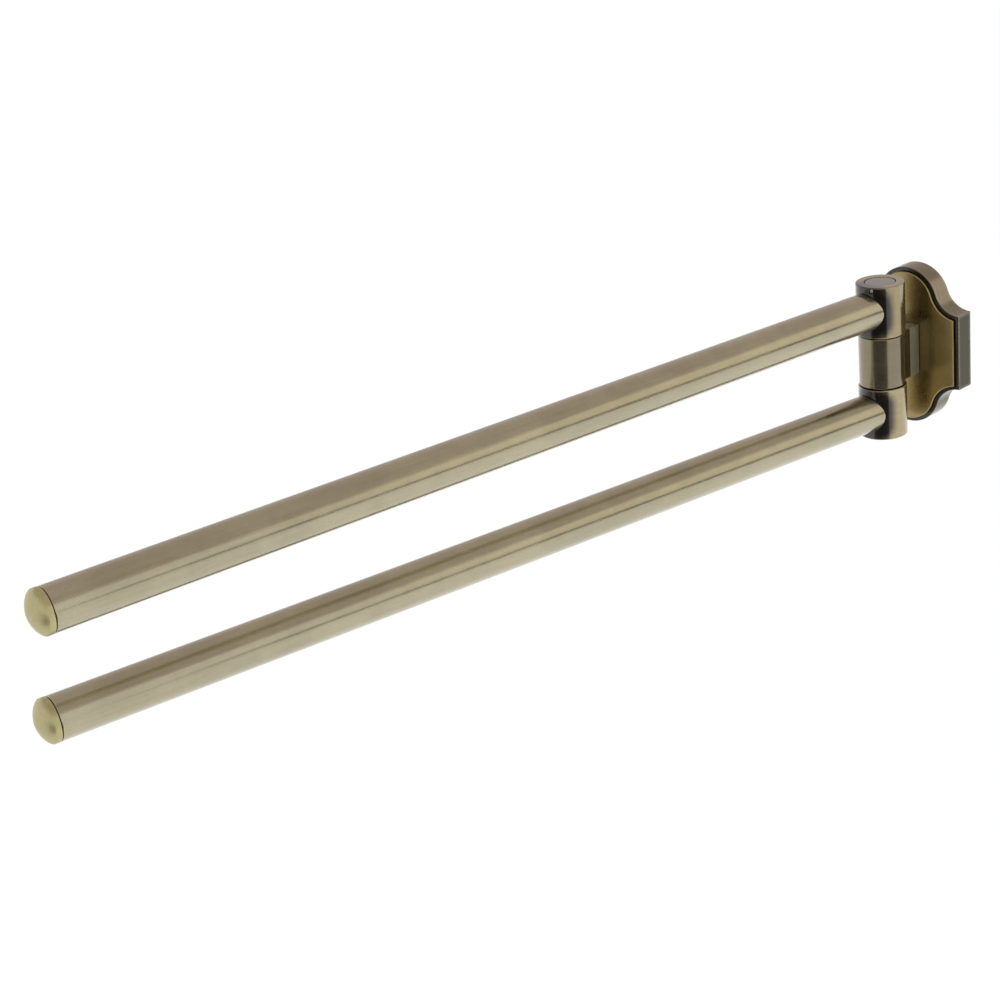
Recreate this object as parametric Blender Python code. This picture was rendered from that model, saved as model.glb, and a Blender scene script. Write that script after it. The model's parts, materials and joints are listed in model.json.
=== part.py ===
"""Swivel towel rack: two tube arms that swing one above the other on a vertical pin.

The pin stands in a barrel that is carried on a tongue, in front of a hollow wall plate.
Frame: origin on the wall, at the middle of the plate's back; +Y into the wall, +Z up.
The arms point to -Y, away from the wall. Sizes are in metres.
"""

import math

import bmesh
import bpy

MM = 0.001

# Clearances and small edge breaks
GAP = 0.3 * MM  # between neighbouring pieces
EDGE = 0.4 * MM  # chamfer on the edges that a hand meets
FINE_EDGE = 0.2 * MM  # chamfer on screws, washers and plugs

# Arms
ARM_REACH = 382.5 * MM  # hinge axis to the tip of an end cap
TUBE_RADIUS = 8.0 * MM
TUBE_WALL = 1.0 * MM
UPPER_SWING = -7.3  # degrees from the wall's normal, turning about +Z
LOWER_SWING = -9.5
DOME_HEIGHT = 4.1 * MM
DOME_FULLNESS = 1.28  # exponent of the dome's outline, 1 is an ellipse
CAP_COLLAR = 2.0 * MM
SPIGOT_LENGTH = 11.0 * MM  # of an end cap, inside its tube
SPIGOT_WALL = 1.5 * MM
STUD_RADIUS = 3.0 * MM
STUD_LENGTH = 18.0 * MM
INSERT_LENGTH = 18.0 * MM

# Hinge stack
BARREL_RADIUS = 9.5 * MM
BARREL_HEIGHT = 21.6 * MM
KNUCKLE_RADIUS = 10.0 * MM
KNUCKLE_HEIGHT = 21.8 * MM
SEAM = 0.4 * MM  # between the barrel and each knuckle
PIN_RADIUS = 3.0 * MM
THREAD_RADIUS = 2.5 * MM
THREAD_TAIL = 0.6 * MM  # beyond the nut
HEAD_LAND = 1.6 * MM  # how far the head and the washer reach past the shank
HEAD_HEIGHT = 4.4 * MM
HEAD_SOCKET = 4.0 * MM  # across flats
BUSH_WALL = 0.8 * MM
THRUST_RADIUS = 7.4 * MM
THRUST_THICKNESS = 0.8 * MM
SPRING_HEIGHT = 1.0 * MM
SPRING_THICKNESS = 0.5 * MM
NUT_FLATS = 8.0 * MM
NUT_HEIGHT = 4.0 * MM
PIN_WASHER_THICKNESS = 0.8 * MM
PLUG_RADIUS = 6.2 * MM
PLUG_THICKNESS = 1.6 * MM
PLUG_STEP = 0.4 * MM
LOCK_RADIUS = 0.7 * MM
LOCK_LENGTH = 3.0 * MM
LOCK_TURN = 22.0  # degrees round the knuckle from the arm

# Wall plate
STAND_OFF = 27.5 * MM  # wall to hinge axis
PLATE_DEPTH = 8.8 * MM
PLATE_HALF_WIDTH = 24.8 * MM
SHOULDER_HEIGHT = 16.0 * MM  # plate centre to a corner
CROWN_HEIGHT = 34.0 * MM  # plate centre to the top of the crown
CROWN_RADIUS = 14.8 * MM
SHELL_WALL = 1.6 * MM
COVER_INSET = 1.8 * MM
COVER_RAISE = 1.3 * MM
COVER_SEAT = 0.7 * MM  # how far the cover is let into the plate
TONGUE_WIDTH = 13.4 * MM
TONGUE_MARGIN = 0.2 * MM  # above and below the tongue, to the ends of the barrel
TONGUE_STEP = 0.8 * MM  # shoulder that bears on the cover
BACKING_WIDTH = 20.0 * MM
BACKING_HEIGHT = 25.0 * MM
BACKING_THICKNESS = 1.4 * MM
SCREW_RADIUS = 2.0 * MM
SCREW_HEAD_RADIUS = 3.5 * MM
SCREW_HEAD_HEIGHT = 1.8 * MM
SCREW_LENGTH = 9.0 * MM
SCREW_SPACING = 12.0 * MM
SOCKET_FLATS = 2.5 * MM

# Wall bracket
BRACKET_THICKNESS = 1.5 * MM
BRACKET_HALF_WIDTH = 9.0 * MM
EAR_HALF_WIDTH = 6.0 * MM
EAR_FROM_CROWN = 5.2 * MM  # plate's crown to the ear's outer face
HOOK_LIP = 1.2 * MM
WALL_SLOT_WIDTH = 4.5 * MM
WALL_SLOT_LENGTH = 8.0 * MM
WALL_SLOT_SPACING = 37.0 * MM
GRUB_RADIUS = 1.5 * MM

# Facets
ROUND = 48
SMALL_ROUND = 24
ARC_STEPS = 8

# Worked out from the values above
BUSH_BORE = PIN_RADIUS + GAP
BUSH_RADIUS = BUSH_BORE + BUSH_WALL
KNUCKLE_BORE = BUSH_RADIUS + GAP
NUT_CORNER = NUT_FLATS / 2 / math.cos(math.pi / 6)
HEAD_RADIUS = PIN_RADIUS + HEAD_LAND
PIN_WASHER_RADIUS = max(HEAD_RADIUS, NUT_CORNER)
POCKET_RADIUS = PIN_WASHER_RADIUS + 2 * GAP
PLUG_SEAT = PLUG_THICKNESS + 2 * GAP  # depth below the knuckle's end
PLUG_DEPTH = PLUG_SEAT + PLUG_STEP + GAP
HEAD_POCKET = PLUG_DEPTH + HEAD_HEIGHT + SPRING_HEIGHT + 2 * GAP
NUT_POCKET = PLUG_DEPTH + THREAD_TAIL + NUT_HEIGHT + PIN_WASHER_THICKNESS + 2 * GAP
KNUCKLE_FOOT = BARREL_HEIGHT / 2 + SEAM
KNUCKLE_END = KNUCKLE_FOOT + KNUCKLE_HEIGHT
ARM_LEVEL = KNUCKLE_FOOT + KNUCKLE_HEIGHT / 2
THRUST_RECESS = THRUST_RADIUS + GAP
TONGUE_HEIGHT = BARREL_HEIGHT - 2 * TONGUE_MARGIN
THRUST_DEPTH = THRUST_THICKNESS + 2 * GAP - SEAM
COVE_RISE = SHOULDER_HEIGHT - CROWN_HEIGHT + CROWN_RADIUS
COVE_RADIUS = (PLATE_HALF_WIDTH**2 + COVE_RISE**2 - CROWN_RADIUS**2) / (2 * (CROWN_RADIUS - COVE_RISE))
PLATE_INNER_FACE = -PLATE_DEPTH + COVER_SEAT + GAP + SHELL_WALL
COVER_FACE = -PLATE_DEPTH - COVER_RAISE
EAR_HEIGHT = CROWN_HEIGHT - EAR_FROM_CROWN
EAR_FRONT = PLATE_INNER_FACE + 4 * GAP
GRUB_Y = (EAR_FRONT - BRACKET_THICKNESS) / 2


def clear_scene():
    for thing in list(bpy.data.objects):
        bpy.data.objects.remove(thing, do_unlink=True)


def metal(name, colour, metallic, roughness):
    material = bpy.data.materials.new(name)
    material.use_nodes = True
    shader = material.node_tree.nodes["Principled BSDF"]
    shader.inputs["Base Color"].default_value = (*colour, 1.0)
    shader.inputs["Metallic"].default_value = metallic
    shader.inputs["Roughness"].default_value = roughness
    return material


FINISHES = {
    "antique_brass": ((0.32, 0.27, 0.16), 1.0, 0.32),
    "tube_brass": ((0.38, 0.32, 0.20), 1.0, 0.30),
    "steel": ((0.55, 0.55, 0.54), 1.0, 0.40),
    "nylon": ((0.045, 0.04, 0.04), 0.0, 0.55),
}


def pivot(name, swing=0.0):
    """An empty on the hinge axis, level with the middle of the barrel."""
    empty = bpy.data.objects.new(name, None)
    empty.location = (0, -STAND_OFF, 0)
    empty.rotation_euler = (0, 0, math.radians(swing))
    bpy.context.scene.collection.objects.link(empty)
    return empty


def add_object(name, mesh, finish=None, parent=None, at=(0, 0, 0), turn=(0, 0, 0)):
    thing = bpy.data.objects.new(name, mesh)
    bpy.context.scene.collection.objects.link(thing)
    thing.parent = parent
    thing.location = at
    thing.rotation_euler = turn
    if finish:
        mesh.materials.append(metal(f"{name}_{finish}", *FINISHES[finish]))
    else:
        thing.hide_render = True
        thing.display_type = "WIRE"
    return thing


def turned(name, profile, closed=False, sides=ROUND, **placing):
    """A body of revolution about local Z. The profile holds (radius, height) points, from the top
    down the outer side. A closed profile makes a ring, an open one ends on the axis."""
    mesh = bpy.data.meshes.new(name)
    points = [(radius, 0, height) for radius, height in profile]
    edges = [(i, i + 1) for i in range(len(points) - 1)]
    if closed:
        edges.append((len(points) - 1, 0))
    mesh.from_pydata(points, edges, [])
    thing = add_object(name, mesh, **placing)
    screw = thing.modifiers.new("turn", "SCREW")
    screw.axis = "Z"
    screw.steps = sides
    screw.render_steps = sides
    screw.use_merge_vertices = True
    screw.merge_threshold = 0.00001
    screw.use_smooth_shade = True
    return thing


def disc(top, bottom, radius, edge=0.0):
    """Outline of a plain turned disc, from its top centre round to its bottom centre."""
    if not edge:
        return [(0, top), (radius, top), (radius, bottom), (0, bottom)]
    return [
        (0, top),
        (radius - edge, top),
        (radius, top - edge),
        (radius, bottom + edge),
        (radius - edge, bottom),
        (0, bottom),
    ]


def ring(top, bottom, outer, inner, edge=0.0):
    """Outline of a plain turned ring."""
    if not edge:
        return [(outer, top), (outer, bottom), (inner, bottom), (inner, top)]
    return [
        (outer - edge, top),
        (outer, top - edge),
        (outer, bottom + edge),
        (outer - edge, bottom),
        (inner, bottom),
        (inner, top),
    ]


def layered(name, loops, hollow=False, **placing):
    """A body skinned over loops of equally many points. The first and last loop are closed by a
    face, or joined to each other where the body is hollow."""
    shape = bmesh.new()
    rows = [[shape.verts.new(point) for point in loop] for loop in loops]
    count = len(rows[0])
    for low, high in zip(rows, rows[1:] + rows[:1] if hollow else rows[1:]):
        for i in range(count):
            j = (i + 1) % count
            shape.faces.new((low[i], low[j], high[j], high[i]))
    if not hollow:
        shape.faces.new(rows[0])
        shape.faces.new(rows[-1])
    bmesh.ops.recalc_face_normals(shape, faces=shape.faces)
    mesh = bpy.data.meshes.new(name)
    shape.to_mesh(mesh)
    shape.free()
    return add_object(name, mesh, **placing)


def block(name, low, high, **placing):
    """A rectangular body between two corners."""
    (x0, y0, z0), (x1, y1, z1) = low, high
    loops = [[(x0, y, z0), (x1, y, z0), (x1, y, z1), (x0, y, z1)] for y in (y0, y1)]
    return layered(name, loops, **placing)


def rod(name, radius, start, end, sides=SMALL_ROUND, **placing):
    """A plain cylinder along local Z, for drilling."""
    return turned(name, disc(end, start, radius), sides=sides, **placing)


def cut(thing, cutter):
    boolean = thing.modifiers.new(f"cut_{cutter.name}", "BOOLEAN")
    boolean.operation = "DIFFERENCE"
    boolean.object = cutter


def join(thing, addition):
    boolean = thing.modifiers.new(f"join_{addition.name}", "BOOLEAN")
    boolean.operation = "UNION"
    boolean.object = addition


def ogee(inset, y):
    """The wall plate's outline moved in by inset: a crown arc that runs into a hollow cove arc on
    each quarter, with straight sides between the four corners."""
    crown = CROWN_HEIGHT - CROWN_RADIUS
    cove = SHOULDER_HEIGHT + COVE_RADIUS
    lean = math.atan2(PLATE_HALF_WIDTH, cove - crown)
    last = math.asin(inset / (COVE_RADIUS + inset))
    quarter = []
    for i in range(ARC_STEPS + 1):
        angle = lean * i / ARC_STEPS
        reach = CROWN_RADIUS - inset
        quarter.append((reach * math.sin(angle), crown + reach * math.cos(angle)))
    for i in range(1, ARC_STEPS + 1):
        angle = lean + (last - lean) * i / ARC_STEPS
        reach = COVE_RADIUS + inset
        quarter.append((PLATE_HALF_WIDTH - reach * math.sin(angle), cove - reach * math.cos(angle)))
    half = quarter + [(x, -z) for x, z in reversed(quarter)]
    outline = half + [(-x, z) for x, z in reversed(half[1:-1])]
    return [(x, y, z) for x, z in outline]


def make_wall_plate():
    """The hollow escutcheon, open at the back, and the raised cover let into its front."""
    rim = COVER_INSET - GAP
    shell = layered(
        "escutcheon",
        [
            ogee(SHELL_WALL, PLATE_INNER_FACE),
            ogee(SHELL_WALL, 0),
            ogee(0, 0),
            ogee(0, -PLATE_DEPTH + EDGE),
            ogee(EDGE, -PLATE_DEPTH),
            ogee(rim, -PLATE_DEPTH),
            ogee(rim, -PLATE_DEPTH + COVER_SEAT + GAP),
        ],
        finish="antique_brass",
    )
    inside_wall = SHELL_WALL / 4
    hook_back = EAR_FRONT + HOOK_LIP + GAP
    join(
        shell,
        block(
            "hook_rib",
            (-EAR_HALF_WIDTH, hook_back, EAR_HEIGHT + GAP),
            (EAR_HALF_WIDTH, -BRACKET_THICKNESS - GAP, CROWN_HEIGHT - 3 * inside_wall),
        ),
    )
    join(
        shell,
        block(
            "grub_boss",
            (-2 * GRUB_RADIUS, PLATE_INNER_FACE - inside_wall, -CROWN_HEIGHT + 3 * inside_wall),
            (2 * GRUB_RADIUS, GRUB_Y + 1.5 * GRUB_RADIUS, -EAR_HEIGHT - 4 * GAP),
        ),
    )
    hole_radius = GRUB_RADIUS + GAP
    cut(
        shell,
        rod("grub_hole", hole_radius, -CROWN_HEIGHT - GAP, -EAR_HEIGHT + GAP, at=(0, GRUB_Y, 0)),
    )
    cover = layered(
        "cover_plate",
        [
            ogee(COVER_INSET, -PLATE_DEPTH + COVER_SEAT),
            ogee(COVER_INSET, COVER_FACE + EDGE),
            ogee(COVER_INSET + EDGE, COVER_FACE),
        ],
        finish="antique_brass",
    )
    half_width = TONGUE_WIDTH / 2 - TONGUE_STEP + GAP
    half_height = TONGUE_HEIGHT / 2 - TONGUE_STEP + GAP
    slot = block(
        "tongue_slot",
        (-half_width, COVER_FACE - GAP, -half_height),
        (half_width, PLATE_INNER_FACE + GAP, half_height),
    )
    cut(shell, slot)
    cut(cover, slot)


def make_wall_bracket():
    """The steel strip that is screwed to the wall. The plate hooks over its upper ear, and a grub
    screw from below bears on its lower ear."""
    neck = EAR_HEIGHT - EAR_HALF_WIDTH
    corner = [
        (BRACKET_HALF_WIDTH, neck - BRACKET_HALF_WIDTH + EAR_HALF_WIDTH),
        (EAR_HALF_WIDTH, neck),
        (EAR_HALF_WIDTH, EAR_HEIGHT),
    ]
    side = [(x, -z) for x, z in reversed(corner)] + corner
    outline = side + [(-x, z) for x, z in reversed(side)]
    strip = layered(
        "wall_bracket",
        [[(x, y, z) for x, z in outline] for y in (-BRACKET_THICKNESS, 0)],
        finish="steel",
    )
    inner = EAR_HEIGHT - BRACKET_THICKNESS
    root = -BRACKET_THICKNESS / 2
    for name, low, high in (
        ("lower_ear", (-EAR_HEIGHT, -inner), EAR_FRONT),
        ("upper_ear", (inner, EAR_HEIGHT), EAR_FRONT),
    ):
        join(strip, block(name, (-EAR_HALF_WIDTH, high, low[0]), (EAR_HALF_WIDTH, root, low[1])))
    join(
        strip,
        block(
            "hook_lip",
            (-EAR_HALF_WIDTH, EAR_FRONT, inner),
            (EAR_HALF_WIDTH, EAR_FRONT + HOOK_LIP, EAR_HEIGHT + HOOK_LIP),
        ),
    )
    half_slot = (WALL_SLOT_LENGTH - WALL_SLOT_WIDTH) / 2
    for place in (-1, 1):
        loops = []
        for y in (-2 * BRACKET_THICKNESS, BRACKET_THICKNESS):
            loop = []
            for i in range(SMALL_ROUND):
                angle = 2 * math.pi * (i + 0.5) / SMALL_ROUND
                shift = math.copysign(half_slot, math.cos(angle))
                x = WALL_SLOT_WIDTH / 2 * math.cos(angle) + shift
                z = WALL_SLOT_WIDTH / 2 * math.sin(angle) + place * WALL_SLOT_SPACING / 2
                loop.append((x, y, z))
            loops.append(loop)
        cut(strip, layered(f"wall_slot_{place}", loops))


def hex_socket(thing, flats, depth, mouth, **placing):
    """Sinks a hexagon socket into thing, from local height mouth down by depth."""
    corner = flats / 2 / math.cos(math.pi / 6)
    cutter = rod(f"{thing.name}_socket", corner, mouth - depth, mouth + depth, sides=6, **placing)
    cut(thing, cutter)


def make_bracket_fastenings():
    """The plate that backs the tongue from inside, its two screws and the grub screw."""
    half_width = BACKING_WIDTH / 2
    half_height = BACKING_HEIGHT / 2
    front = PLATE_INNER_FACE + GAP
    back = front + BACKING_THICKNESS
    backing = block(
        "backing_plate",
        (-half_width, front, -half_height),
        (half_width, back, half_height),
        finish="steel",
    )
    along_wall_axis = (-math.pi / 2, 0, 0)
    for name, side in (("upper", 1), ("lower", -1)):
        height = side * SCREW_SPACING / 2
        hole = rod(
            f"backing_hole_{name}",
            SCREW_RADIUS + GAP,
            -2 * BACKING_THICKNESS,
            2 * BACKING_THICKNESS,
            at=(0, back, height),
            turn=along_wall_axis,
        )
        cut(backing, hole)
        head = SCREW_HEAD_HEIGHT
        profile = [
            (0, head),
            (SCREW_HEAD_RADIUS - 2 * FINE_EDGE, head),
            (SCREW_HEAD_RADIUS, head - 2 * FINE_EDGE),
            (SCREW_HEAD_RADIUS, 0),
            (SCREW_RADIUS, 0),
            (SCREW_RADIUS, -SCREW_LENGTH + FINE_EDGE),
            (SCREW_RADIUS - FINE_EDGE, -SCREW_LENGTH),
            (0, -SCREW_LENGTH),
        ]
        placing = {"at": (0, back + GAP, height), "turn": along_wall_axis}
        name = f"bracket_screw_{name}"
        screw = turned(name, profile, sides=SMALL_ROUND, finish="steel", **placing)
        hex_socket(screw, SOCKET_FLATS, head / 2, head, **placing)
    low = -CROWN_HEIGHT + GAP
    grub = turned(
        "bracket_grub_screw",
        disc(-EAR_HEIGHT - GAP, low, GRUB_RADIUS, FINE_EDGE),
        sides=SMALL_ROUND,
        finish="steel",
        at=(0, GRUB_Y, 0),
    )
    hex_socket(grub, GRUB_RADIUS, GRUB_RADIUS, low, at=(0, GRUB_Y, 0))


def make_hinge_bracket(hinge):
    """The middle barrel with the tongue that reaches through the cover into the plate."""
    top = BARREL_HEIGHT / 2
    floor = top - THRUST_DEPTH
    profile = [
        (BARREL_RADIUS - EDGE, top),
        (BARREL_RADIUS, top - EDGE),
        (BARREL_RADIUS, -top + EDGE),
        (BARREL_RADIUS - EDGE, -top),
        (THRUST_RECESS, -top),
        (THRUST_RECESS, -floor),
        (BUSH_BORE, -floor),
        (BUSH_BORE, floor),
        (THRUST_RECESS, floor),
        (THRUST_RECESS, top),
    ]
    bracket = turned("hinge_bracket", profile, closed=True, parent=hinge, finish="antique_brass")
    half_width = TONGUE_WIDTH / 2
    half_height = TONGUE_HEIGHT / 2
    start = -STAND_OFF + (THRUST_RECESS + 2 * BARREL_RADIUS) / 3
    shoulder = COVER_FACE - GAP
    end = PLATE_INNER_FACE
    join(
        bracket,
        block("tongue", (-half_width, start, -half_height), (half_width, shoulder, half_height)),
    )
    half_width -= TONGUE_STEP
    half_height -= TONGUE_STEP
    overlap = shoulder - TONGUE_STEP
    join(
        bracket,
        block("tongue_root", (-half_width, overlap, -half_height), (half_width, end, half_height)),
    )
    for side in (-1, 1):
        depth = SCREW_LENGTH - BACKING_THICKNESS
        hole = rod(
            f"tongue_hole_{side}",
            SCREW_RADIUS + GAP,
            -depth,
            depth,
            at=(0, PLATE_INNER_FACE, side * SCREW_SPACING / 2),
            turn=(-math.pi / 2, 0, 0),
        )
        cut(bracket, hole)


def make_pin(hinge):
    """The shoulder pin through the whole stack, its spring washer, washer, nut and thrust washers."""
    head_seat = KNUCKLE_END - HEAD_POCKET + GAP + SPRING_HEIGHT + GAP
    head_top = head_seat + HEAD_HEIGHT
    shoulder = -KNUCKLE_END + NUT_POCKET
    washer_top = shoulder - GAP
    nut_top = washer_top - PIN_WASHER_THICKNESS - GAP
    end = nut_top - NUT_HEIGHT - THREAD_TAIL + GAP
    profile = [
        (0, head_top),
        (HEAD_RADIUS - FINE_EDGE, head_top),
        (HEAD_RADIUS, head_top - FINE_EDGE),
        (HEAD_RADIUS, head_seat),
        (PIN_RADIUS, head_seat),
        (PIN_RADIUS, shoulder),
        (THREAD_RADIUS, shoulder),
        (THREAD_RADIUS, end + FINE_EDGE),
        (THREAD_RADIUS - FINE_EDGE, end),
        (0, end),
    ]
    pin = turned("hinge_pin", profile, sides=SMALL_ROUND, parent=hinge, finish="steel")
    hex_socket(pin, HEAD_SOCKET, HEAD_HEIGHT / 2, head_top, parent=hinge)

    low = head_seat - GAP - SPRING_HEIGHT
    spring = [
        (HEAD_RADIUS, low + SPRING_THICKNESS),
        (HEAD_RADIUS, low),
        (BUSH_BORE, low + SPRING_HEIGHT - SPRING_THICKNESS),
        (BUSH_BORE, low + SPRING_HEIGHT),
    ]
    turned("spring_washer", spring, True, SMALL_ROUND, parent=hinge, finish="steel")

    hole = THREAD_RADIUS + GAP
    washer = ring(washer_top, washer_top - PIN_WASHER_THICKNESS, PIN_WASHER_RADIUS, hole)
    turned("pin_washer", washer, True, SMALL_ROUND, parent=hinge, finish="steel")

    nut_shape = disc(nut_top, nut_top - NUT_HEIGHT, NUT_CORNER)
    nut = turned("pin_nut", nut_shape, sides=6, parent=hinge, finish="steel")
    cut(nut, rod("nut_hole", hole, nut_top - 2 * NUT_HEIGHT, nut_top + NUT_HEIGHT, parent=hinge))

    inner = BARREL_HEIGHT / 2 - THRUST_DEPTH + GAP
    outer = inner + THRUST_THICKNESS
    for name, top, bottom in (("upper", outer, inner), ("lower", -inner, -outer)):
        shape = ring(top, bottom, THRUST_RADIUS, BUSH_BORE)
        turned(f"thrust_washer_{name}", shape, True, parent=hinge, finish="nylon")


def stand(profile, side):
    """Turns a profile drawn for the upper arm over for the lower one."""
    return profile if side > 0 else [(radius, -height) for radius, height in reversed(profile)]


def make_knuckle(name, arm, side, pocket):
    """A barrel with a bore for its bush, a pocket for the pin's head or nut and a seat for its plug."""
    seat = KNUCKLE_END - PLUG_SEAT
    floor = KNUCKLE_END - pocket
    profile = [
        (KNUCKLE_RADIUS - EDGE, KNUCKLE_END),
        (KNUCKLE_RADIUS, KNUCKLE_END - EDGE),
        (KNUCKLE_RADIUS, KNUCKLE_FOOT + EDGE),
        (KNUCKLE_RADIUS - EDGE, KNUCKLE_FOOT),
        (KNUCKLE_BORE, KNUCKLE_FOOT),
        (KNUCKLE_BORE, floor),
        (POCKET_RADIUS, floor),
        (POCKET_RADIUS, seat),
        (PLUG_RADIUS + GAP, seat),
        (PLUG_RADIUS + GAP, KNUCKLE_END),
    ]
    knuckle = turned(f"{name}_knuckle", stand(profile, side), True, parent=arm, finish="antique_brass")
    stud_hole = rod(
        f"{name}_stud_hole",
        STUD_RADIUS + GAP,
        KNUCKLE_BORE - GAP,
        KNUCKLE_RADIUS + STUD_RADIUS,
        parent=arm,
        at=(0, 0, side * ARM_LEVEL),
        turn=(math.pi / 2, 0, 0),
    )
    cut(knuckle, stud_hole)

    bush = ring(floor - GAP, KNUCKLE_FOOT + GAP, BUSH_RADIUS, BUSH_BORE)
    turned(f"{name}_bush", stand(bush, side), True, parent=arm, finish="nylon")

    top = KNUCKLE_END - GAP / 2
    plug = [
        (0, top),
        (PLUG_RADIUS - FINE_EDGE, top),
        (PLUG_RADIUS, top - FINE_EDGE),
        (PLUG_RADIUS, top - PLUG_THICKNESS),
        (POCKET_RADIUS - GAP, top - PLUG_THICKNESS),
        (POCKET_RADIUS - GAP, top - PLUG_THICKNESS - PLUG_STEP),
        (0, top - PLUG_THICKNESS - PLUG_STEP),
    ]
    turned(f"{name}_pin_plug", stand(plug, side), parent=arm, finish="antique_brass")
    return knuckle


def make_lock_screw(knuckle, arm):
    """The small grub screw through the upper knuckle's side that holds the plug down."""
    turn = (math.pi / 2, 0, math.radians(LOCK_TURN))
    level = KNUCKLE_END - PLUG_THICKNESS + FINE_EDGE
    start = PLUG_RADIUS + GAP + FINE_EDGE
    placing = {"parent": arm, "at": (0, 0, level), "turn": turn}
    hole = rod("lock_hole", LOCK_RADIUS + GAP, PLUG_RADIUS, KNUCKLE_RADIUS + GAP, 16, **placing)
    cut(knuckle, hole)
    end = min(start + LOCK_LENGTH, KNUCKLE_RADIUS - GAP)
    turned("plug_lock_screw", disc(end, start, LOCK_RADIUS), sides=16, finish="steel", **placing)


def level(radius, height):
    """A flat loop round a tube's own axis."""
    angles = [2 * math.pi * i / ROUND for i in range(ROUND)]
    return [(radius * math.cos(a), radius * math.sin(a), height) for a in angles]


def coped(radius):
    """A loop round a tube's own axis whose points stand off the knuckle's round side."""
    reach = KNUCKLE_RADIUS + GAP
    return [(x, y, math.sqrt(reach**2 - x**2)) for x, y, _ in level(radius, 0)]


def make_arm(name, arm, side):
    """The stud and insert that hold the tube on its knuckle, the tube and its domed end cap."""
    placing = {"parent": arm, "at": (0, 0, side * ARM_LEVEL), "turn": (math.pi / 2, 0, 0)}
    inner = TUBE_RADIUS - TUBE_WALL
    fit = inner - GAP
    stud_start = POCKET_RADIUS + GAP
    stud_end = stud_start + STUD_LENGTH
    stud = disc(stud_end, stud_start, STUD_RADIUS, FINE_EDGE)
    turned(f"{name}_arm_stud", stud, sides=SMALL_ROUND, finish="steel", **placing)

    insert_start = KNUCKLE_RADIUS + 2 * GAP
    insert = ring(insert_start + INSERT_LENGTH, insert_start, fit, STUD_RADIUS + GAP, FINE_EDGE)
    turned(f"{name}_tube_insert", insert, True, finish="steel", **placing)

    shoulder = ARM_REACH - DOME_HEIGHT - CAP_COLLAR
    tube = [coped(TUBE_RADIUS), level(TUBE_RADIUS, shoulder - GAP)]
    tube += [level(inner, shoulder - GAP), coped(inner)]
    layered(f"{name}_tube", tube, hollow=True, finish="tube_brass", **placing)

    dome = []
    for i in range(ARC_STEPS + 1):
        angle = math.pi / 2 * i / ARC_STEPS
        radius = TUBE_RADIUS * math.sin(angle) ** DOME_FULLNESS
        height = DOME_HEIGHT * max(math.cos(angle), 0.0) ** DOME_FULLNESS
        dome.append((radius, ARM_REACH - DOME_HEIGHT + height))
    bottom = shoulder - SPIGOT_LENGTH
    socket = fit - SPIGOT_WALL
    cap = dome + [
        (TUBE_RADIUS, shoulder),
        (fit, shoulder),
        (fit, bottom + FINE_EDGE),
        (fit - FINE_EDGE, bottom),
        (socket, bottom),
        (socket, shoulder),
        (0, shoulder),
    ]
    turned(f"{name}_end_cap", cap, finish="tube_brass", **placing)


def main():
    clear_scene()
    make_wall_plate()
    make_wall_bracket()
    make_bracket_fastenings()
    hinge = pivot("hinge")
    make_hinge_bracket(hinge)
    make_pin(hinge)
    upper = pivot("upper_arm", UPPER_SWING)
    lower = pivot("lower_arm", LOWER_SWING)
    upper_knuckle = make_knuckle("upper", upper, 1, HEAD_POCKET)
    make_lock_screw(upper_knuckle, upper)
    make_knuckle("lower", lower, -1, NUT_POCKET)
    make_arm("upper", upper, 1)
    make_arm("lower", lower, -1)


main()
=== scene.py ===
"""Swivel towel rack in antique brass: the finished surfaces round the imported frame.

Sizes are in metres. +Y goes into the wall, +Z is up, and the arms reach towards -Y.
"""

import json
import math

import bmesh
import bpy
from mathutils import Matrix, Vector


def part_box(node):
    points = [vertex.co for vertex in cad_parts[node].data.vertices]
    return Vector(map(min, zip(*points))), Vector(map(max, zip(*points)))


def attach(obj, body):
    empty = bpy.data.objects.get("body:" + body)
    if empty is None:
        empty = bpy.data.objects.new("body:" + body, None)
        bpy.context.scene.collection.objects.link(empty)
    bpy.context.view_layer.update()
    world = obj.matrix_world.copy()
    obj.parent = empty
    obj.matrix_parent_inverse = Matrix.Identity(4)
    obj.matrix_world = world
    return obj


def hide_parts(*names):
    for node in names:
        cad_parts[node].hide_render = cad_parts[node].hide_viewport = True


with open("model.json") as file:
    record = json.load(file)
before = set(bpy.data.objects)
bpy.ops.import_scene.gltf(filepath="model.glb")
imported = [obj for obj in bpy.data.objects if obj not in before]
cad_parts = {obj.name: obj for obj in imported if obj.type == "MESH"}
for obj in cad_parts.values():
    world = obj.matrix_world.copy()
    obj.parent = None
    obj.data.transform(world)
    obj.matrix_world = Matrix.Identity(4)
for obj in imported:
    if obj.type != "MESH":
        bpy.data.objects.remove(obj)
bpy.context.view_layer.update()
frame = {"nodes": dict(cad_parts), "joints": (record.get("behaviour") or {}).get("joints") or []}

bl_info = {
    "name": "Swivel Towel Rack",
    "version": (1, 0, 0),
    "blender": (4, 5, 0),
    "location": "View3D > Sidebar > Towel Rack",
    "description": "Builds the finished brass pieces of a two-arm swivel towel rack",
    "category": "Object",
}

MM = 0.001
ROUND = 128  # sides of a large turned piece
SMALL_ROUND = 48
NODES = frame["nodes"]
HINGE = Vector(frame["joints"][0]["pos_m"])
ARMS = ("upper", "lower")
GAP = 0.3 * MM  # air that the frame keeps between two pieces
WELD = 0.001 * MM  # points nearer than this are one

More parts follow.
